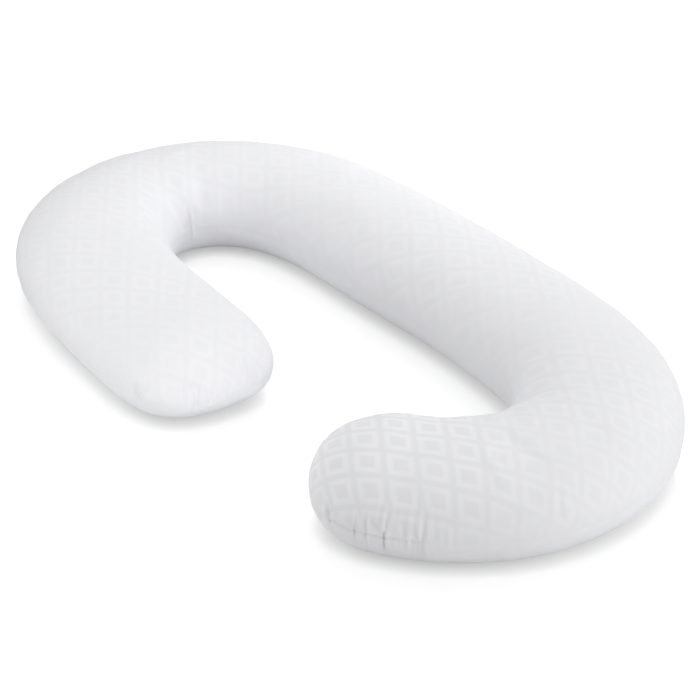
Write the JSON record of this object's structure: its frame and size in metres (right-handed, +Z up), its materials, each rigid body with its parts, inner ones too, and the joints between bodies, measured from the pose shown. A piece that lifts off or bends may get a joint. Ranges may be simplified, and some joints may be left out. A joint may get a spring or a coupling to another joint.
{
  "type": "body pillow",
  "caption": "Long filled C-shaped body pillow of white cloth, lying flat, with round ends, a crowned top and a seam round its side just below the widest line.",
  "frame": {"origin": "on the surface it rests on, under the middle of the pillow's box", "axes": "+X along the back of the C, which is the pillow's longest way; +Y from the opening between the arms towards the back; +Z up, its shortest way"},
  "size_m": [1.4534, 0.8008, 0.1681],
  "materials": {
    "white_cloth": "matte woven cotton with a faint tonal pattern"
  },
  "bodies": {
    "root": {"pillow": "white_cloth"}
  },
  "joints": []
}
